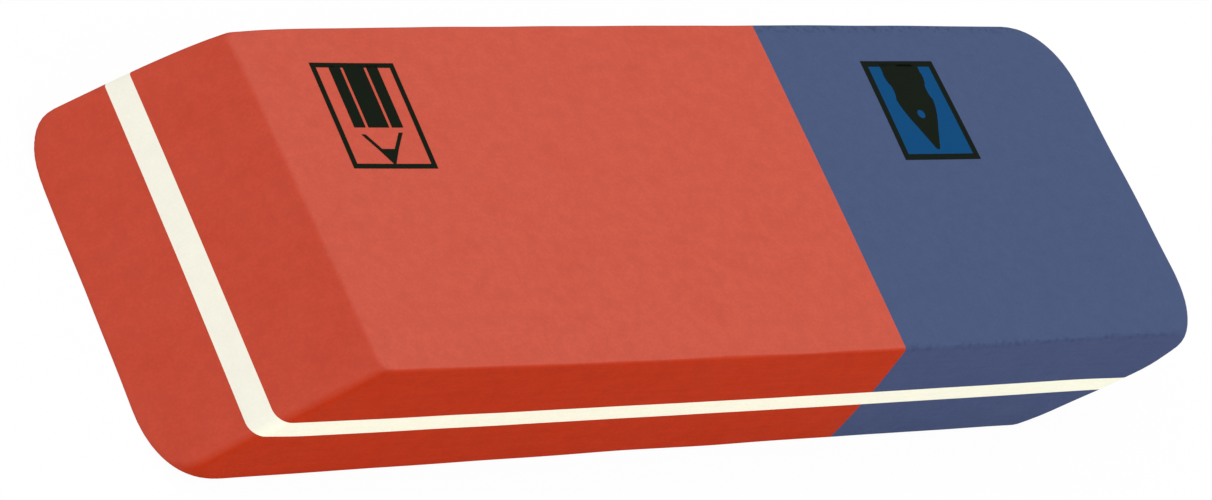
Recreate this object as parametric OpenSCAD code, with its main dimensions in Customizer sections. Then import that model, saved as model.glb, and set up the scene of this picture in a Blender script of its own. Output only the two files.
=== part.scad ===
// Two-colour rubber eraser with a white middle layer.
// X runs along the block, Y from its front to its back, and Z up.
// The origin is on the resting face, below the middle of the overall length and width.

/* [Length and width] */
// Length of the red part, from the block's sharp lower edge to the seam
red_length = 38.7; // [20:0.1:60]
// Length of the blue part, from the seam to the block's sharp upper edge
blue_length = 20.2; // [14:0.1:40]
// Width, from the front face to the back face
block_width = 20; // [12:0.1:40]
// How far each end leans along the block between its foot and its top
end_lean = 7.7; // [0:0.1:12]

/* [Layers] */
// Thickness of the lower red and blue layer
lower_thickness = 3.2; // [1:0.1:8]
// Thickness of the white layer
middle_thickness = 0.95; // [0.3:0.05:4]
// Thickness of the upper red and blue layer
upper_thickness = 3.55; // [1:0.05:8]

/* [Rounding] */
// Radius along the edges of the top face and the resting face
edge_radius = 0.2; // [0.05:0.05:0.6]
// Radius of a leaning upright corner between its two tips
corner_radius = 0.8; // [0.3:0.1:2]
// Radius of the same corner at its sharp tip, where end and large face meet at a small angle
sharp_tip_radius = 4.7; // [2:0.1:6]
// How far from the large face the corner starts to open to its sharp tip
sharp_tip_depth = 1.4; // [0.5:0.1:2.5]
// Radius of the same corner at its blunt tip
blunt_tip_radius = 1; // [0.3:0.1:2]
// How far from the large face the corner starts to open to its blunt tip
blunt_tip_depth = 1.5; // [0.5:0.1:2.5]

/* [Smoothness] */
// Flats in each quarter turn of an upright corner
corner_steps = 14; // [4:1:20]
// Flats in the rounding along an edge
edge_steps = 4; // [2:1:8]
// Steps up each layer, along its leaning corners
layer_steps = 6; // [2:1:12]

/* [Hidden] */

// Colours of the three rubbers
red_rubber = [0.76, 0.26, 0.17];
blue_rubber = [0.28, 0.34, 0.48];
white_rubber = [0.96, 0.95, 0.90];

block_length = red_length + blue_length;
block_height = lower_thickness + middle_thickness + upper_thickness;
seam_x = red_length - block_length / 2;
middle_foot = lower_thickness;

// Smallest corner radius, so that a corner keeps its points where an edge rounds it away
least_radius = 0.02;

// How far the outline at height z draws in for the rounded edges above and below
function edge_inset(z) =
    let (depth = min(z, block_height - z, edge_radius))
    edge_radius - sqrt(edge_radius ^ 2 - (edge_radius - depth) ^ 2);

// How much a corner's radius has grown at a distance from the large face, on a quarter ellipse
function tip_growth(tip_radius, tip_depth, distance) =
    let (nearness = max(1 - distance / tip_depth, 0))
    (tip_radius - corner_radius) * (1 - sqrt(1 - nearness ^ 2));

// Arc of one corner of the outline at height z; side_x is -1 on the left and 1 on the right,
// side_y is -1 in front and 1 behind, and the points run counter-clockwise seen from above
function corner_arc(z, side_x, side_y) =
    let (
        inset = edge_inset(z),
        from_sharp = side_x > 0 ? block_height - z : z,
        radius_here = corner_radius
            + tip_growth(sharp_tip_radius, sharp_tip_depth, from_sharp)
            + tip_growth(blunt_tip_radius, blunt_tip_depth, block_height - from_sharp),
        radius = max(radius_here - inset, least_radius),
        leaning = end_lean * (z / block_height - 0.5),
        end_x = side_x * (block_length - end_lean) / 2 + leaning - side_x * inset,
        face_y = side_y * (block_width / 2 - inset),
        first_angle = side_x > 0 ? (side_y > 0 ? 0 : 270) : (side_y > 0 ? 90 : 180)
    )
    [for (step = [0:corner_steps])
        let (angle = first_angle + 90 * step / corner_steps)
        [end_x - side_x * radius + radius * cos(angle), face_y - side_y * radius + radius * sin(angle), z]];

// The points where the seam crosses the outline, in front and behind
function seam_points(z) =
    let (face_y = block_width / 2 - edge_inset(z))
    [[seam_x, -face_y, z], [seam_x, face_y, z]];

// Outlines at height z, each counter-clockwise seen from above
function red_outline(z) = concat(corner_arc(z, -1, 1), corner_arc(z, -1, -1), seam_points(z));
function blue_outline(z) =
    let (seam = seam_points(z))
    concat(corner_arc(z, 1, -1), corner_arc(z, 1, 1), [seam[1], seam[0]]);
function whole_outline(z) =
    concat(corner_arc(z, -1, 1), corner_arc(z, -1, -1), corner_arc(z, 1, -1), corner_arc(z, 1, 1));

// Distances of the outlines from the large face that a coloured layer ends on: close together round
// the edge, and then further and further apart up to the layer's thickness
function outline_distances(thickness) = concat(
    [for (step = [0:edge_steps - 1]) edge_radius * (1 - cos(90 * step / edge_steps))],
    [for (step = [0:layer_steps])
        edge_radius + (thickness - edge_radius) * (1 - cos(90 * step / layer_steps))]);

lower_heights = outline_distances(lower_thickness);
upper_distances = outline_distances(upper_thickness);
upper_heights = [for (step = [len(upper_distances) - 1:-1:0]) block_height - upper_distances[step]];
middle_heights = [for (step = [0:layer_steps]) middle_foot + middle_thickness * step / layer_steps];

// Solid skinned over a stack of outlines that have the same number of points
module loft(outlines) {
    count = len(outlines[0]);
    last = len(outlines) - 1;
    sides = [for (level = [0:last - 1], i = [0:count - 1])
        let (low = level * count, next = (i + 1) % count)
        [low + i, low + count + i, low + count + next, low + next]];
    foot = [for (i = [0:count - 1]) i];
    top = [for (i = [count - 1:-1:0]) last * count + i];
    polyhedron(points = [for (outline = outlines) each outline], faces = concat([foot], sides, [top]));
}

module red_lower_layer() {
    color(red_rubber)
        loft([for (z = lower_heights) red_outline(z)]);
}

module blue_lower_layer() {
    color(blue_rubber)
        loft([for (z = lower_heights) blue_outline(z)]);
}

module white_middle_layer() {
    color(white_rubber)
        loft([for (z = middle_heights) whole_outline(z)]);
}

module red_upper_layer() {
    color(red_rubber)
        loft([for (z = upper_heights) red_outline(z)]);
}

module blue_upper_layer() {
    color(blue_rubber)
        loft([for (z = upper_heights) blue_outline(z)]);
}

red_lower_layer();
blue_lower_layer();
white_middle_layer();
red_upper_layer();
blue_upper_layer();
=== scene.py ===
"""Looks of the layered rubber eraser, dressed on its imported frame.

Shapes are worked out in millimetres and scaled to metres when a mesh is made.
X runs along the block from the red end to the blue end, Y from its front to its back, Z up.
"""

import math

import bmesh
import bpy
from mathutils import Matrix, Vector, noise


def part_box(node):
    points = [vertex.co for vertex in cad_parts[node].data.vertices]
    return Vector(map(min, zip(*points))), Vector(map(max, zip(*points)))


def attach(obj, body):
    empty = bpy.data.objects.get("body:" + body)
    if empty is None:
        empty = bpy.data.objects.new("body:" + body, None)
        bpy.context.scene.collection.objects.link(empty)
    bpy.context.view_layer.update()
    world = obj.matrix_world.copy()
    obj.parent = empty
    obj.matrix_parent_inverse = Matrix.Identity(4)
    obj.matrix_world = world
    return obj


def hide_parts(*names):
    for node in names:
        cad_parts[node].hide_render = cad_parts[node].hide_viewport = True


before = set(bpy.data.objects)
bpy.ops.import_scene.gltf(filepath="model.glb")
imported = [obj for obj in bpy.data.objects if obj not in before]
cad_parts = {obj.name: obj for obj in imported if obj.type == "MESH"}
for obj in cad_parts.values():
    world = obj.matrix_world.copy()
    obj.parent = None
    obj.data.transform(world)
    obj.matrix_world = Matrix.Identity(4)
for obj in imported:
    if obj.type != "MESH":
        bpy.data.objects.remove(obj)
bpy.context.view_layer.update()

# Noise vectors come out alike in each run only from a fixed seed
NOISE_SEED = 3
noise.seed_set(NOISE_SEED)

MM = 0.001

# Width of the image in pixels, and of the camera's sensor in millimetres
IMAGE_WIDTH = 1212
SENSOR_WIDTH = 36.0

# Radius of the rounded edges, how unevenly they are worn, and over what length that varies
EDGE_RADIUS = 0.2
EDGE_WEAR = 0.45
EDGE_WEAR_LENGTH = 5.0

# Radii of the upright corners, each named by the sides it is on: -1 left and 1 right, then -1 front and
# 1 back. A corner opens to its tip where end and large face meet at a small angle.
CORNER_RADII = {(-1, -1): 0.8, (-1, 1): 0.25, (1, -1): 0.3, (1, 1): 0.8}
BLUNT_TIP_RADII = {(-1, -1): 0.4, (-1, 1): 0.8, (1, -1): 1.1, (1, 1): 0.8}
BLUNT_TIP_DEPTH = 1.5
SHARP_TIP_RADIUS = 4.7
SHARP_TIP_DEPTH = 1.4
LEAST_RADIUS = 0.02

# Spacing of the mesh lines, at an edge and in the open
FINE_STEP = 0.07
OPEN_STEP = 0.34
STEP_GROWTH = 0.22

# Steps round an edge's quarter turn, up a coloured layer and up the white one
EDGE_STEPS = 6
LAYER_STEPS = 14
MIDDLE_STEPS = 5


def node_box(name):
    """Lowest and highest corners of a CAD node, in millimetres."""
    low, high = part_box(name)
    return low / MM, high / MM


# Sizes of the block, read from its nodes
white_low, white_high = node_box("white_middle_layer")
red_low, red_high = node_box("red_upper_layer")
HEIGHT = red_high.z
HALF_WIDTH = white_high.y
SEAM_X = red_high.x
MIDDLE_FOOT = white_low.z
MIDDLE_TOP = white_high.z
LEAN_RATE = (red_low.x - white_low.x) / (MIDDLE_TOP - MIDDLE_FOOT)
LEFT_FOOT_X = white_low.x - LEAN_RATE * MIDDLE_FOOT
RIGHT_FOOT_X = white_high.x - LEAN_RATE * MIDDLE_TOP


def smooth_step(start, end, value):
    """0 before start, 1 after end, and a smooth rise between."""
    share = min(max((value - start) / (end - start), 0.0), 1.0)
    return share * share * (3.0 - 2.0 * share)


def mix(start, end, share):
    """The value at a share of the way from start to end."""
    return start + (end - start) * share


# Form of the block

# How far out of true the soft block is, as offsets of its corners and bows of its edges. A corner is
# named by the side it is on along X, Y and Z, and an edge by 0 for the axis that it runs along.
OFFSETS = {
    (-1, -1, -1): (-0.1, -0.1, 0.0),
    (-1, -1, 0): (-0.05, 0.05, -0.05),
    (-1, -1, 1): (0.2, 0.05, 0.1),
    (-1, 1, -1): (0.0, 0.1, 0.0),
    (-1, 1, 0): (0.0, 0.05, 0.1),
    (-1, 1, 1): (0.05, -0.15, -0.15),
    (-1, 0, -1): (0.1, 0.0, 0.0),
    (0, -1, -1): (-0.2, 0.05, 0.0),
    (0, -1, 1): (0.0, -0.1, -0.2),
    (0, 1, 1): (0.15, 0.05, 0.15),
    (1, -1, 0): (0.1, -0.2, 0.1),
    (1, -1, 1): (-0.3, 0.15, -0.15),
    (1, 0, 1): (0.05, 0.0, 0.05),
}

# Soft bulges and hollows of single corners: the sides that the corner is on, the height of the middle,
# the reach across and up the block, and the offset there
BULGES = [
    ((1, -1), 5.2, 2.0, 1.2, (0.1, -0.14, 0.0)),
    ((1, -1), 3.4, 2.0, 1.2, (0.28, 0.0, 0.0)),
    ((-1, 1), 7.7, 1.8, 1.5, (0.0, 0.0, -0.2)),
]

# The white sheet is thinner at the left end than along the block: where its foot lies above its level
# there and along the block, how far from the end that changes, and how far up and down it is felt
SHEET_FOOT_AT_END = 0.04
SHEET_FOOT_ALONG = -0.09
SHEET_END_REACH = 3.0
SHEET_REACH_UP = 0.5

# Fine unevenness that cutting leaves in soft rubber, and the height above the resting face from which
# it is full
RIPPLE_LENGTH = 3.5
RIPPLE_HEIGHT = 0.012
RIPPLE_FULL_FROM = 1.5


def out_of_true(point):
    """How far the real block's point lies from its true place."""
    rise = point.z / HEIGHT * 2.0 - 1.0
    middle_x = mix(end_x(point.z, -1), end_x(point.z, 1), 0.5)
    half_length = (end_x(0.0, 1) - end_x(0.0, -1)) / 2
    place = ((point.x - middle_x) / half_length, point.y / HALF_WIDTH, rise)
    total = Vector((0.0, 0.0, 0.0))
    for sides, offset in OFFSETS.items():
        weight = 1.0
        for side, share in zip(sides, place):
            weight *= (1.0 - share * share) if side == 0 else (1.0 + side * share) / 2
        total += Vector(offset) * weight
    for (side, face), height, reach_across, reach_up, offset in BULGES:
        across = math.hypot(point.x - end_x(point.z, side), point.y - face * HALF_WIDTH) / reach_across
        total += Vector(offset) * math.exp(-across**2 - ((point.z - height) / reach_up)**2)
    return total


def sheet_shift(point):
    """How far the foot of the white sheet lies off its level, fading out above and below it.

    At the ends the shift follows their lean, so that they stay flat.
    """
    from_left = point.x - end_x(point.z, -1)
    from_right = end_x(point.z, 1) - point.x
    rise = mix(SHEET_FOOT_AT_END, SHEET_FOOT_ALONG, smooth_step(0.0, SHEET_END_REACH, from_left))
    rise *= math.exp(-((point.z - MIDDLE_FOOT) / SHEET_REACH_UP)**2)
    at_end = 1.0 - smooth_step(0.0, SHEET_END_REACH, min(from_left, from_right))
    return Vector((LEAN_RATE * at_end * rise, 0.0, rise))


def warped(point):
    """The point moved to its place on the slightly uneven real block; the resting face stays flat."""
    ripple = noise.noise_vector(point / RIPPLE_LENGTH) * RIPPLE_HEIGHT
    ripple *= smooth_step(0.0, RIPPLE_FULL_FROM, point.z)
    return point + out_of_true(point) + sheet_shift(point) + ripple


def edge_radius(x, y):
    """Radius of the rounded edges at a place in plan."""
    return EDGE_RADIUS * (1.0 + EDGE_WEAR * noise.noise(Vector((x, y, 0.0)) / EDGE_WEAR_LENGTH))


def tip_growth(extra, tip_depth, distance):
    """How much of its extra radius a corner has at a distance from the large face."""
    nearness = min(max(1.0 - distance / tip_depth, 0.0), 1.0)
    return extra * (1.0 - math.sqrt(1.0 - nearness * nearness))


def corner_radius(z, side, face):
    """Radius at a height of the upright corner on these sides."""
    radius = CORNER_RADII[side, face]
    from_sharp = HEIGHT - z if side > 0 else z
    to_sharp_tip = tip_growth(SHARP_TIP_RADIUS - radius, SHARP_TIP_DEPTH, from_sharp)
    to_blunt_tip = tip_growth(BLUNT_TIP_RADII[side, face] - radius, BLUNT_TIP_DEPTH, HEIGHT - from_sharp)
    return radius + to_sharp_tip + to_blunt_tip


def end_x(z, side):
    """Where the leaning end on a side is at height z."""
    return (RIGHT_FOOT_X if side > 0 else LEFT_FOOT_X) + LEAN_RATE * z


def stations(length, fine_start, fine_end):
    """Distances from 0 to length, close together at the ends that are fine."""
    marks = [0.0]
    while marks[-1] < length:
        from_start = marks[-1] if fine_start else length
        from_end = length - marks[-1] if fine_end else length
        marks.append(marks[-1] + min(FINE_STEP + STEP_GROWTH * min(from_start, from_end), OPEN_STEP))
    return [mark * length / marks[-1] for mark in marks]


def shares(length, fine_start, fine_end):
    """The same distances as shares of the length."""
    return [mark / length for mark in stations(length, fine_start, fine_end)]


def outline_point(side, end_share, depth, z, radius_here, inset):
    """A point of the block's plan at height z.

    end_share runs from 0 at the end on that side to 1 at the seam, and depth from 0 at the front face
    to 1 at the back face. inset draws the plan in where an edge is rounded.
    """
    end = end_x(z, side) - side * inset
    from_end = abs(SEAM_X - end) * end_share
    front = depth <= 0.5
    from_face = (HALF_WIDTH - inset) * 2.0 * (depth if front else 1.0 - depth)
    radius = max(radius_here - inset, LEAST_RADIUS)
    if from_end < radius and from_face < radius:
        across, along = radius - from_end, radius - from_face
        squash = max(across, along) / math.hypot(across, along)
        from_end, from_face = radius - across * squash, radius - along * squash
    y = (HALF_WIDTH - inset - from_face) * (-1.0 if front else 1.0)
    return end - side * from_end, y


RED_SHARES = shares(SEAM_X - LEFT_FOOT_X, True, False)
BLUE_SHARES = shares(RIGHT_FOOT_X - SEAM_X, True, False)
DEPTHS = shares(2.0 * HALF_WIDTH, True, True)

# Lines across the block: the end that each is measured from, and its share of the way to the seam
RED_LINES = [(-1, share) for share in RED_SHARES]
BLUE_LINES = [(1, share) for share in reversed(BLUE_SHARES)]
ALL_LINES = RED_LINES + BLUE_LINES[1:]


def face_levels(thickness, radius):
    """Distances from the large face, and insets, through a layer whose edge has this radius."""
    levels = []
    for step in range(EDGE_STEPS):
        turn = math.pi / 2 * step / EDGE_STEPS
        levels.append((radius - radius * math.cos(turn), radius - radius * math.sin(turn)))
    for step in range(LAYER_STEPS + 1):
        share = 1.0 - math.cos(math.pi / 2 * step / LAYER_STEPS)
        levels.append((mix(radius, thickness, share), 0.0))
    return levels


def lower_levels(radius):
    """Heights and insets up the lower layer, where the resting edge has this radius."""
    return face_levels(MIDDLE_FOOT, radius)


def middle_levels(_radius):
    """Heights and insets up the white layer, which has no rounded edge."""
    return [(mix(MIDDLE_FOOT, MIDDLE_TOP, step / MIDDLE_STEPS), 0.0) for step in range(MIDDLE_STEPS + 1)]


def upper_levels(radius):
    """Heights and insets up the upper layer, where the top edge has this radius."""
    levels = face_levels(HEIGHT - MIDDLE_TOP, radius)
    return [(HEIGHT - distance, inset) for distance, inset in reversed(levels)]


def block_point(line, depth, levels, level):
    """The warped point on one line across the block, at one depth and one level of a layer.

    How worn the edge is there is read at the point's rough place in plan.
    """
    side, end_share = line
    rough_x = mix(end_x(HEIGHT / 2, side), SEAM_X, end_share)
    rough_y = mix(-HALF_WIDTH, HALF_WIDTH, depth)
    z, inset = levels(edge_radius(rough_x, rough_y))[level]
    radius = corner_radius(z, side, -1 if depth <= 0.5 else 1)
    x, y = outline_point(side, end_share, depth, z, radius, inset)
    return warped(Vector((x, y, z)))


def layer_piece(name, lines, levels, open_foot, open_top):
    """One layer of rubber as a closed mesh.

    A foot or top that is open to view gets a full grid, and one that is bonded to the next layer is one
    flat face, as is the seam.
    """
    top = len(levels(EDGE_RADIUS)) - 1
    last_line, last_depth = len(lines) - 1, len(DEPTHS) - 1
    mesh = bmesh.new()
    made = {}

    def vertex(i, j, k):
        if (i, j, k) not in made:
            made[i, j, k] = mesh.verts.new(block_point(lines[i], DEPTHS[j], levels, k) * MM)
        return made[i, j, k]

    def grid(first, second, place, flip):
        for a in range(first):
            for b in range(second):
                corners = [place(a, b), place(a + 1, b), place(a + 1, b + 1), place(a, b + 1)]
                mesh.faces.new([vertex(*corner) for corner in (reversed(corners) if flip else corners)])

    def cap(corners):
        face = mesh.faces.new([vertex(*corner) for corner in corners])
        face.smooth = False
        for edge in face.edges:
            edge.smooth = False

    grid(last_line, top, lambda a, b: (a, 0, b), False)
    grid(last_line, top, lambda a, b: (a, last_depth, b), True)
    if lines[0][1] == 0.0:
        grid(last_depth, top, lambda a, b: (0, a, b), True)
    if lines[-1][1] == 0.0:
        grid(last_depth, top, lambda a, b: (last_line, a, b), False)
    if open_foot:
        grid(last_line, last_depth, lambda a, b: (a, b, 0), True)
    if open_top:
        grid(last_line, last_depth, lambda a, b: (a, b, top), False)
    for face in mesh.faces:
        face.smooth = True

    def level_ring(k):
        ring = [(i, 0, k) for i in range(last_line)]
        ring += [(last_line, j, k) for j in range(last_depth)]
        ring += [(i, last_depth, k) for i in range(last_line, 0, -1)]
        return ring + [(0, j, k) for j in range(last_depth, 0, -1)]

    def seam_ring(i):
        ring = [(i, j, 0) for j in range(last_depth)]
        ring += [(i, last_depth, k) for k in range(top)]
        ring += [(i, j, top) for j in range(last_depth, 0, -1)]
        return ring + [(i, 0, k) for k in range(top, 0, -1)]

    if not open_foot:
        cap(reversed(level_ring(0)))
    if not open_top:
        cap(level_ring(top))
    if lines[0][1] == 1.0:
        cap(reversed(seam_ring(0)))
    if lines[-1][1] == 1.0:
        cap(seam_ring(last_line))
    bmesh.ops.recalc_face_normals(mesh, faces=mesh.faces)
    return finished(name, mesh)


def finished(name, mesh):
    """The object made from a bmesh, linked to the scene."""
    data = bpy.data.meshes.new(name)
    mesh.to_mesh(data)
    mesh.free()
    piece = bpy.data.objects.new(name, data)
    bpy.context.scene.collection.objects.link(piece)
    return piece


# Printed signs

# How high the black ink and the field of colour stand on the rubber, and how deep both reach into it
INK_LIFT = 0.016
FIELD_LIFT = 0.008
INK_ROOT = 0.012

# Side of the squares that a film is cut into, so that it follows the uneven rubber
INK_GRID = 0.5

# Steps along each curve of a sign, and round an ellipse
CURVE_STEPS = 8
ELLIPSE_STEPS = 24


def cut_into_squares(mesh):
    """Cuts a flat mesh along a square grid."""
    for axis, normal in enumerate((Vector((1.0, 0.0, 0.0)), Vector((0.0, 1.0, 0.0)))):
        spots = [vert.co[axis] for vert in mesh.verts]
        cut = math.floor(min(spots) / INK_GRID) * INK_GRID + INK_GRID
        while cut < max(spots):
            geometry = mesh.verts[:] + mesh.edges[:] + mesh.faces[:]
            bmesh.ops.bisect_plane(mesh, geom=geometry, plane_co=normal * cut, plane_no=normal)
            cut += INK_GRID


def film(name, outlines, lift):
    """Thin film of ink on the top face, in closed outlines of points; one inside another is a hole."""
    mesh = bmesh.new()
    edges = []
    for outline in outlines:
        verts = [mesh.verts.new((x, y, 0.0)) for x, y in outline]
        edges += [mesh.edges.new((verts[i - 1], verts[i])) for i in range(len(verts))]
    bmesh.ops.triangle_fill(mesh, use_beauty=True, use_dissolve=False, edges=edges)
    cut_into_squares(mesh)
    for face in mesh.faces:
        if face.normal.z < 0.0:
            face.normal_flip()
    extruded = bmesh.ops.extrude_face_region(mesh, geom=mesh.faces[:])
    raised = {item for item in extruded["geom"] if isinstance(item, bmesh.types.BMVert)}
    for vert in mesh.verts:
        height = lift if vert in raised else -INK_ROOT
        place = warped(Vector((vert.co.x, vert.co.y, HEIGHT)))
        vert.co = (place + Vector((0.0, 0.0, height))) * MM
    bmesh.ops.recalc_face_normals(mesh, faces=mesh.faces)
    return finished(name, mesh)


def rectangle(low_x, low_y, high_x, high_y):
    """Its four corners, in order."""
    return [(low_x, low_y), (high_x, low_y), (high_x, high_y), (low_x, high_y)]


def curve(start, handle, end):
    """Points along a quadratic curve, without the last one."""
    points = []
    for step in range(CURVE_STEPS):
        share = step / CURVE_STEPS
        to_handle = [mix(a, b, share) for a, b in zip(start, handle)]
        from_handle = [mix(a, b, share) for a, b in zip(handle, end)]
        points.append(tuple(mix(a, b, share) for a, b in zip(to_handle, from_handle)))
    return points


def ellipse(centre_x, centre_y, half_width, half_depth):
    """Points round an ellipse."""
    points = []
    for step in range(ELLIPSE_STEPS):
        turn = 2.0 * math.pi * step / ELLIPSE_STEPS
        points.append((centre_x + half_width * math.cos(turn), centre_y + half_depth * math.sin(turn)))
    return points


# Depth of both signs' panels, from foot to top
PANEL_DEPTH = 6.3

# Each sign's place on the top face, its turn in degrees, and the width and line of its panel
PENCIL_CENTRE = (-15.87, 4.63)
PENCIL_TURN = -1.4
PENCIL_WIDTH = 4.64
PENCIL_LINE = 0.27
NIB_CENTRE = (17.53, 4.41)
NIB_TURN = -0.6
NIB_WIDTH = 4.9
NIB_LINE = 0.35
NIB_TAPER = 0.06


def panel(width, line, taper=0.0):
    """Outer and inner outlines of a sign's frame; taper widens its foot and narrows its top."""
    outlines = []
    for inset in (0.0, line):
        x, y = width / 2 - inset, PANEL_DEPTH / 2 - inset
        outlines.append([(-x - taper, -y), (x + taper, -y), (x - taper, y), (taper - x, y)])
    return outlines


def placed(parts, centre, turn):
    """A sign's outlines, turned and moved to their place on the top face."""
    cosine, sine = math.cos(math.radians(turn)), math.sin(math.radians(turn))

    def place(x, y):
        return centre[0] + x * cosine - y * sine, centre[1] + x * sine + y * cosine

    return [[[place(x, y) for x, y in outline] for outline in outlines] for outlines in parts]


def pencil_sign():
    """A hexagonal pencil seen from the side, with its point down, in a frame."""
    body_half = 1.35
    side_facet = 0.62
    facet_gap = 0.16
    body_foot = -0.72
    body_top = PANEL_DEPTH / 2 - PENCIL_LINE / 2
    lead_top = -2.0
    tip_x, tip_y = 0.04, PENCIL_LINE - PANEL_DEPTH / 2
    tip_half = 0.06
    arm_width = 0.22
    arm_starts = {-1: (-1.13, -1.14), 1: (1.19, -1.03)}
    facets = [
        (-body_half, side_facet - body_half),
        (side_facet + facet_gap - body_half, body_half - side_facet - facet_gap),
        (body_half - side_facet, body_half),
    ]
    parts = [panel(PENCIL_WIDTH, PENCIL_LINE)]
    parts += [[rectangle(left, body_foot, right, body_top)] for left, right in facets]
    lead = []
    for side, (start_x, start_y) in arm_starts.items():
        share = (start_y - lead_top) / (start_y - tip_y)
        lead_x = mix(start_x, tip_x, share)
        inward = -side * arm_width
        outer = [(start_x, start_y), (lead_x, lead_top)]
        parts.append([outer + [(x + inward, y) for x, y in reversed(outer)]])
        lead.append(outer[1])
    parts.append([lead + [(tip_x + tip_half, tip_y), (tip_x - tip_half, tip_y)]])
    return parts


def nib_shape():
    """Outlines of a pen nib with its point down, and of its breather hole, about its panel's centre.

    The nib is alike on both sides; its right side is given, from the top down.
    """
    right = [(1.26, 2.95), (1.24, 2.42)]
    right += curve((1.27, 2.38), (1.33, 2.0), (1.16, 1.6))
    right += curve((1.12, 1.56), (1.06, 1.1), (1.19, 0.72))
    right += curve((1.22, 0.68), (1.18, 0.0), (0.65, -1.14))
    right += [(0.65, -1.14), (0.13, -2.42), (0.06, -2.5)]
    left = [(-x, y) for x, y in reversed(right)]
    return [right + left, ellipse(-0.03, -0.26, 0.24, 0.27)]


def print_piece(name, parts, lift):
    """One piece of print from several patches of film."""
    patches = [film(name, outlines, lift) for outlines in parts]
    whole = bmesh.new()
    for patch in patches:
        whole.from_mesh(patch.data)
        bpy.data.objects.remove(patch)
    return finished(name, whole)


# Materials

# Sizes of the patterns in the rubber
GRAIN_SIZE = 0.16
GRIT_SIZE = 0.45
PIT_SIZE = 0.3
MOTTLE_SIZE = 0.7
CLOUD_SIZE = 2.6
STREAK_SIZE = 0.22

# How much longer the streaks of cutting are along the block, and their share of the mottling
STREAK_LENGTHS = 25.0
STREAK_SHARE = 0.5

# The part of the noise, from 0 to 1, over which a pattern goes from its least to its most
WIDE_NOISE = (0.25, 0.75)
MIDDLE_NOISE = (0.3, 0.7)
PIT_NOISE = (0.5, 0.6)
THIN_INK_NOISE = (0.6, 0.8)

# How squarely a surface faces sideways or up, from where it starts to count to where it counts in full.
# The
# # upward one brings in the painted sheen and shade of the facing colour on the top and bottom faces.
CUT_SIDEWAYS = (0.4, 0.9)
DRAGGED_SIDEWAYS = (0.5, 0.95)
PAINTED_FACING_UPWARD = (0.84, 0.98)

# How far the leaning ends are from the cut colour towards the painted sheen and shade of the facing colour
END_SHARE = 0.56

# How far from a long top edge its pits reach, over both faces together
PIT_REACH = 0.6

# Least and most of what clouds and grain vary; the first is the share of painted sheen and shade that the
# facing
# # colour gives
PAINTED_FACING_RANGE = (0.9, 1.1)
RUBBER_ROUGHNESS = (0.72, 0.84)
INK_ROUGHNESS = (0.5, 0.62)

# Size and depth of the grain that shows in the ink
INK_GRAIN_SIZE = 0.14
INK_GRAIN_DEPTH = 0.006

# Colours of the rubbers on their cut sides and as painted on their top and bottom faces (painted sheen on
# the
# # red and blue, painted shade on the white), and of the inks where they are solid and where the grain
# shows through
RED_CUT = (0.456, 0.0291, 0.0046, 1.0)
RED_PAINTED_SHEEN = (0.556, 0.0893, 0.0553, 1.0)
BLUE_CUT = (0.0502, 0.0711, 0.1625, 1.0)
BLUE_PAINTED_SHEEN = (0.0595, 0.0875, 0.185, 1.0)
WHITE_CUT = (0.965, 0.95, 0.77, 1.0)
WHITE_PAINTED_SHADE = (0.785, 0.76, 0.69, 1.0)
BLACK_INK = (0.0053, 0.0094, 0.0047, 1.0)
BLACK_INK_THIN = (0.012, 0.012, 0.008, 1.0)
FIELD_INK = (0.003, 0.0622, 0.1815, 1.0)
FIELD_INK_THIN = (0.007, 0.07, 0.18, 1.0)


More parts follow.
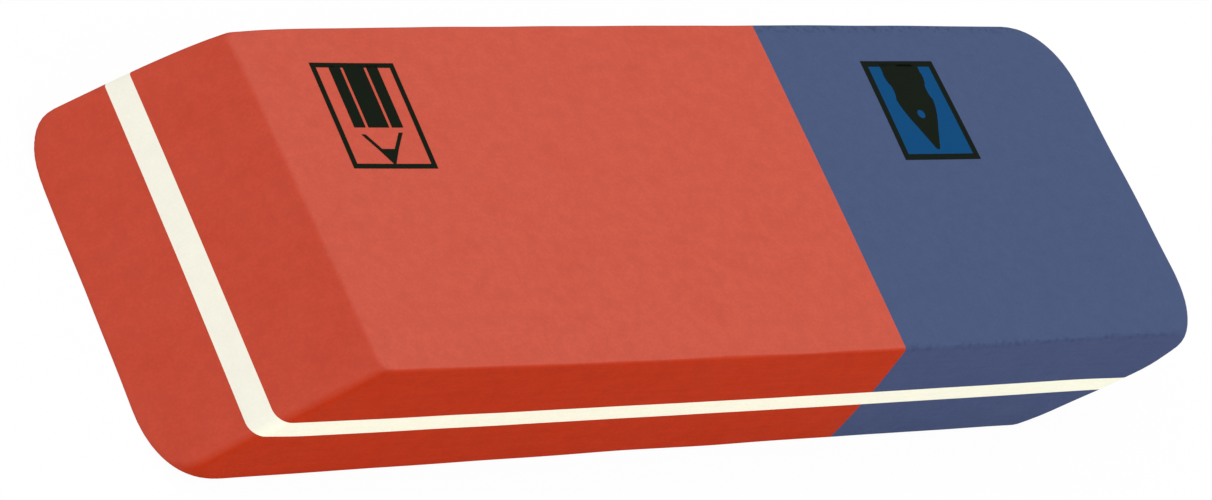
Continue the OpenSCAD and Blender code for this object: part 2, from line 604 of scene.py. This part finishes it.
class Nodes:
    """Short ways to add and join the nodes of one material."""

    def __init__(self, name):
        self.material = bpy.data.materials.new(name)
        self.material.use_nodes = True
        self.tree = self.material.node_tree
        self.shader = self.tree.nodes["Principled BSDF"]
        places = self.tree.nodes.new("ShaderNodeTexCoord")
        self.normal = places.outputs["Normal"]
        self.place = self.vector("SCALE", places.outputs["Object"], scale=1.0 / MM)

    def join(self, value, socket):
        """Links another node's output to the socket, or sets the socket to a plain value."""
        if isinstance(value, bpy.types.NodeSocket):
            self.tree.links.new(value, socket)
        else:
            socket.default_value = value

    def vector(self, operation, first, second=None, scale=None):
        node = self.tree.nodes.new("ShaderNodeVectorMath")
        node.operation = operation
        self.join(first, node.inputs[0])
        if second is not None:
            self.join(second, node.inputs[1])
        if scale is not None:
            node.inputs["Scale"].default_value = scale
        return node.outputs[0]

    def math(self, operation, first, second=0.0):
        node = self.tree.nodes.new("ShaderNodeMath")
        node.operation = operation
        self.join(first, node.inputs[0])
        self.join(second, node.inputs[1])
        return node.outputs[0]

    def parts(self, value):
        """The X, Y and Z of a vector."""
        node = self.tree.nodes.new("ShaderNodeSeparateXYZ")
        self.join(value, node.inputs[0])
        return node.outputs

    def noise(self, size, detail, stretch=(1.0, 1.0, 1.0)):
        """Noise from 0 to 1 whose blobs are about size millimetres across."""
        node = self.tree.nodes.new("ShaderNodeTexNoise")
        self.join(self.vector("MULTIPLY", self.place, stretch), node.inputs["Vector"])
        node.inputs["Scale"].default_value = 1.0 / size
        node.inputs["Detail"].default_value = detail
        return node.outputs["Fac"]

    def ramp(self, value, low, high, to_low=0.0, to_high=1.0):
        """The value mapped from low and high to to_low and to_high, and held level outside them."""
        node = self.tree.nodes.new("ShaderNodeMapRange")
        self.join(value, node.inputs["Value"])
        limits = {"From Min": low, "From Max": high, "To Min": to_low, "To Max": to_high}
        for socket, number in limits.items():
            node.inputs[socket].default_value = number
        return node.outputs["Result"]

    def blend(self, share, first, second, kind="MIX"):
        """The second colour mixed with the first by a share, or multiplied into it."""
        node = self.tree.nodes.new("ShaderNodeMix")
        node.data_type = "RGBA"
        node.blend_type = kind
        self.join(share, node.inputs["Factor"])
        self.join(first, node.inputs["A"])
        self.join(second, node.inputs["B"])
        return node.outputs["Result"]

    def bump(self, height, depth):
        """Bump of the given depth in millimetres, added to any bump before it."""
        node = self.tree.nodes.new("ShaderNodeBump")
        node.inputs["Strength"].default_value = 1.0
        node.inputs["Distance"].default_value = depth * MM
        self.join(height, node.inputs["Height"])
        if self.shader.inputs["Normal"].links:
            self.join(self.shader.inputs["Normal"].links[0].from_socket, node.inputs["Normal"])
        self.join(node.outputs["Normal"], self.shader.inputs["Normal"])

    def finish(self, colour, roughness, specular):
        """Sets the shader's main values, and gives the finished material."""
        self.join(colour, self.shader.inputs["Base Color"])
        self.join(roughness, self.shader.inputs["Roughness"])
        self.shader.inputs["Specular IOR Level"].default_value = specular
        return self.material


def grey(value):
    """Opaque colour with all three channels alike."""
    return (value, value, value, 1.0)


def rubber(name, cut, painted_facing_colour, specular, mottle, grain, grit=0.005, pitting=0.0):
    """Matt rubber: cut is its colour on the cut sides, and pressed is a colour painted on the top and
    bottom faces, as painted sheen on the red and blue rubber and as painted shade on the white.

    The leaning ends are between the two, and turn to cut within the rounding of the corners. grain is
    the depth of its fine texture and grit the depth of the coarser grains in it, in millimetres.
    pitting is how dark the pits are that cutting tears along the long top edges.
    """
    nodes = Nodes(name)
    facing = nodes.parts(nodes.normal)
    facing_side = nodes.math("ABSOLUTE", facing["Y"])
    facing_up = nodes.math("ABSOLUTE", facing["Z"])
    place = nodes.parts(nodes.place)
    to_edge = nodes.math("ADD", nodes.math("ABSOLUTE", place["Y"]), place["Z"])
    brink = nodes.ramp(to_edge, HALF_WIDTH + HEIGHT - PIT_REACH, HALF_WIDTH + HEIGHT - PIT_REACH / 2)
    pits = nodes.math("MULTIPLY", brink, nodes.ramp(nodes.noise(PIT_SIZE, detail=3.0), *PIT_NOISE))
    fine = nodes.noise(GRAIN_SIZE, detail=3.0)
    coarse = nodes.noise(GRIT_SIZE, detail=2.0)
    sideways = nodes.ramp(facing_side, *DRAGGED_SIDEWAYS)
    # Share of the painted facing colour: in full on the top and bottom faces, in part on the leaning ends,
    # varied by clouds; painted sheen on the red and blue rubber, painted shade on the white
    leaning = nodes.ramp(facing_side, *CUT_SIDEWAYS, END_SHARE, 0.0)
    level = nodes.ramp(facing_up, *PAINTED_FACING_UPWARD, 0.0, 1.0 - END_SHARE)
    clouds = nodes.noise(CLOUD_SIZE, detail=3.0)
    painted_facing_share = nodes.math("ADD", leaning, level)
    painted_facing_share = nodes.math("MULTIPLY", painted_facing_share, nodes.ramp(clouds, *MIDDLE_NOISE, *PAINTED_FACING_RANGE))
    colour = nodes.blend(painted_facing_share, cut, painted_facing_colour)
    spots = nodes.noise(MOTTLE_SIZE, detail=4.0)
    tone_range = (1.0 - mottle, 1.0 + mottle)
    tone = nodes.ramp(spots, *WIDE_NOISE, *tone_range)
    tone = nodes.math("MULTIPLY", tone, nodes.ramp(fine, *WIDE_NOISE, *tone_range))
    streaks = nodes.noise(STREAK_SIZE, detail=2.0, stretch=(1.0 / STREAK_LENGTHS, 1.0, 1.0))
    drag = nodes.math("MULTIPLY", sideways, nodes.ramp(streaks, *MIDDLE_NOISE, -1.0, 1.0))
    tone = nodes.math("ADD", tone, nodes.math("MULTIPLY", drag, STREAK_SHARE * mottle))
    tone = nodes.math("MULTIPLY", tone, nodes.ramp(pits, 0.0, 1.0, 1.0, 1.0 - pitting))
    shade = nodes.tree.nodes.new("ShaderNodeCombineColor")
    for channel in ("Red", "Green", "Blue"):
        nodes.join(tone, shade.inputs[channel])
    colour = nodes.blend(1.0, colour, shade.outputs["Color"], "MULTIPLY")
    nodes.bump(fine, grain)
    nodes.bump(coarse, grit)
    nodes.bump(drag, grain)
    return nodes.finish(colour, nodes.ramp(clouds, *MIDDLE_NOISE, *RUBBER_ROUGHNESS), specular)


def ink(name, colour, thin_colour):
    """Printed ink: mostly solid, and a little thinner where the rubber's grain stands up."""
    nodes = Nodes(name)
    grain = nodes.noise(INK_GRAIN_SIZE, detail=3.0)
    shown = nodes.blend(nodes.ramp(grain, *THIN_INK_NOISE), colour, thin_colour)
    nodes.bump(grain, INK_GRAIN_DEPTH)
    return nodes.finish(shown, nodes.ramp(grain, *MIDDLE_NOISE, *INK_ROUGHNESS), specular=0.025)


def dress_block():
    """The five layers of rubber, each in place of its CAD node."""
    red = rubber("red_rubber", RED_CUT, RED_PAINTED_SHEEN, specular=0.08, mottle=0.05, grain=0.006)
    blue = rubber("blue_rubber", BLUE_CUT, BLUE_PAINTED_SHEEN, specular=0.12, mottle=0.04, grain=0.01,
                  grit=0.02, pitting=0.24)
    white = rubber("white_rubber", WHITE_CUT, WHITE_PAINTED_SHADE, specular=0.2, mottle=0.016, grain=0.004)
    # Node, lines across the block, levels, whether foot and top are open to view, material and slot
    layers = [
        ("red_lower_layer", RED_LINES, lower_levels, True, False, red, "red_rubber"),
        ("blue_lower_layer", BLUE_LINES, lower_levels, True, False, blue, "blue_rubber"),
        ("white_middle_layer", ALL_LINES, middle_levels, False, False, white, "white_rubber"),
        ("red_upper_layer", RED_LINES, upper_levels, False, True, red, "red_rubber"),
        ("blue_upper_layer", BLUE_LINES, upper_levels, False, True, blue, "blue_rubber"),
    ]
    for node, lines, levels, open_foot, open_top, material, slot in layers:
        piece = layer_piece(node + "_rubber", lines, levels, open_foot, open_top)
        piece.data.materials.append(material)
        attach(piece, "root")
        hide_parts(node)


def dress_print():
    """The pencil sign on the red rubber, and the nib sign on the blue with its field of colour."""
    black = ink("black_ink", BLACK_INK, BLACK_INK_THIN)
    field = ink("field_ink", FIELD_INK, FIELD_INK_THIN)
    outer, inner = panel(NIB_WIDTH, NIB_LINE, NIB_TAPER)
    nib = [[outer, inner], nib_shape()]
    prints = [
        ("pencil_sign", placed(pencil_sign(), PENCIL_CENTRE, PENCIL_TURN), INK_LIFT, black),
        ("nib_sign", placed(nib, NIB_CENTRE, NIB_TURN), INK_LIFT, black),
        ("nib_field", placed([[outer]], NIB_CENTRE, NIB_TURN), FIELD_LIFT, field),
    ]
    for name, parts, lift, material in prints:
        piece = print_piece(name, parts, lift)
        piece.data.materials.append(material)
        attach(piece, "root")


# Stage, lights and camera

# The camera's azimuth, elevation and roll in degrees, its distance from the point that it aims at, and
# its focal length in pixels of the image
VIEW_AZIMUTH = 37.898
VIEW_ELEVATION = 40.380
VIEW_ROLL = 37.826
VIEW_DISTANCE = 220.89
AIM = (-6.148, -3.647, 7.7)
FOCAL_PIXELS = 4710.9


def add_camera():
    """Camera at the photograph's angle, from the front left and above, turned about its own axis."""
    azimuth, elevation, roll = (math.radians(angle) for angle in (VIEW_AZIMUTH, VIEW_ELEVATION, VIEW_ROLL))
    level = math.cos(elevation)
    forward = Vector((level * math.cos(azimuth), level * math.sin(azimuth), -math.sin(elevation)))
    level_right = Vector((math.sin(azimuth), -math.cos(azimuth), 0.0))
    level_up = level_right.cross(forward)
    right = level_right * math.cos(roll) + level_up * math.sin(roll)
    up = right.cross(forward)
    data = bpy.data.cameras.new("camera")
    data.sensor_width = SENSOR_WIDTH
    data.lens = FOCAL_PIXELS * SENSOR_WIDTH / IMAGE_WIDTH
    data.clip_start = 0.01
    data.clip_end = 20.0
    camera = bpy.data.objects.new("camera", data)
    turn = Matrix((right, up, -forward)).transposed()
    camera.matrix_world = Matrix.Translation((Vector(AIM) - forward * VIEW_DISTANCE) * MM) @ turn.to_4x4()
    bpy.context.scene.collection.objects.link(camera)
    bpy.context.scene.camera = camera


def add_lamp(name, azimuth, elevation, distance, size, watts):
    """Soft square lamp that looks at the block from an azimuth and elevation in degrees."""
    data = bpy.data.lights.new(name, "AREA")
    data.shape = "SQUARE"
    data.size = size
    data.energy = watts
    lamp = bpy.data.objects.new(name, data)
    azimuth, elevation = math.radians(azimuth), math.radians(elevation)
    level = math.cos(elevation)
    away = Vector((level * math.cos(azimuth), level * math.sin(azimuth), math.sin(elevation)))
    lamp.location = away * distance
    lamp.rotation_euler = away.to_track_quat("Z", "Y").to_euler()
    bpy.context.scene.collection.objects.link(lamp)


def seen_directly(tree):
    """1 for the rays that show a surface as it is, to the camera or in a reflection."""
    path = tree.nodes.new("ShaderNodeLightPath")
    total = path.outputs["Is Camera Ray"]
    for ray in ("Is Glossy Ray", "Is Transmission Ray"):
        node = tree.nodes.new("ShaderNodeMath")
        node.operation = "MAXIMUM"
        tree.links.new(total, node.inputs[0])
        tree.links.new(path.outputs[ray], node.inputs[1])
        total = node.outputs[0]
    return total


def add_world(strength):
    """Even white studio light that shows as plain white behind everything."""
    world = bpy.data.worlds.new("studio")
    bpy.context.scene.world = world
    world.use_nodes = True
    tree = world.node_tree
    lit = tree.nodes["Background"]
    lit.inputs["Color"].default_value = grey(1.0)
    lit.inputs["Strength"].default_value = strength
    shown = tree.nodes.new("ShaderNodeBackground")
    shown.inputs["Color"].default_value = grey(1.0)
    shown.inputs["Strength"].default_value = 1.0
    either = tree.nodes.new("ShaderNodeMixShader")
    tree.links.new(seen_directly(tree), either.inputs[0])
    tree.links.new(lit.outputs[0], either.inputs[1])
    tree.links.new(shown.outputs[0], either.inputs[2])
    tree.links.new(either.outputs[0], tree.nodes["World Output"].inputs["Surface"])


def add_floor():
    """Pale floor: it shows white, and keeps part of the block's shadow.

    It lies a hair below the resting face, so that the two don't share a plane.
    """
    half = 3.0
    drop = 0.02 * MM
    matt_grey = 0.9
    whiteness = 0.96
    mesh = bmesh.new()
    corners = [(-half, -half), (half, -half), (half, half), (-half, half)]
    mesh.faces.new([mesh.verts.new((x, y, -drop)) for x, y in corners])
    floor = finished("floor", mesh)
    material = bpy.data.materials.new("floor")
    material.use_nodes = True
    tree = material.node_tree
    tree.nodes.clear()
    matt = tree.nodes.new("ShaderNodeBsdfDiffuse")
    matt.inputs["Color"].default_value = grey(matt_grey)
    shown = tree.nodes.new("ShaderNodeEmission")
    shown.inputs["Strength"].default_value = 1.0
    share = tree.nodes.new("ShaderNodeMath")
    share.operation = "MULTIPLY"
    tree.links.new(seen_directly(tree), share.inputs[0])
    share.inputs[1].default_value = whiteness
    either = tree.nodes.new("ShaderNodeMixShader")
    tree.links.new(share.outputs[0], either.inputs[0])
    tree.links.new(matt.outputs[0], either.inputs[1])
    tree.links.new(shown.outputs[0], either.inputs[2])
    output = tree.nodes.new("ShaderNodeOutputMaterial")
    tree.links.new(either.outputs[0], output.inputs["Surface"])
    floor.data.materials.append(material)


bpy.context.scene.view_settings.view_transform = "Standard"
add_camera()
add_world(strength=0.955)
add_lamp("key", azimuth=282.0, elevation=62.0, distance=1.2, size=0.9, watts=2.8)
add_floor()
dress_block()
dress_print()
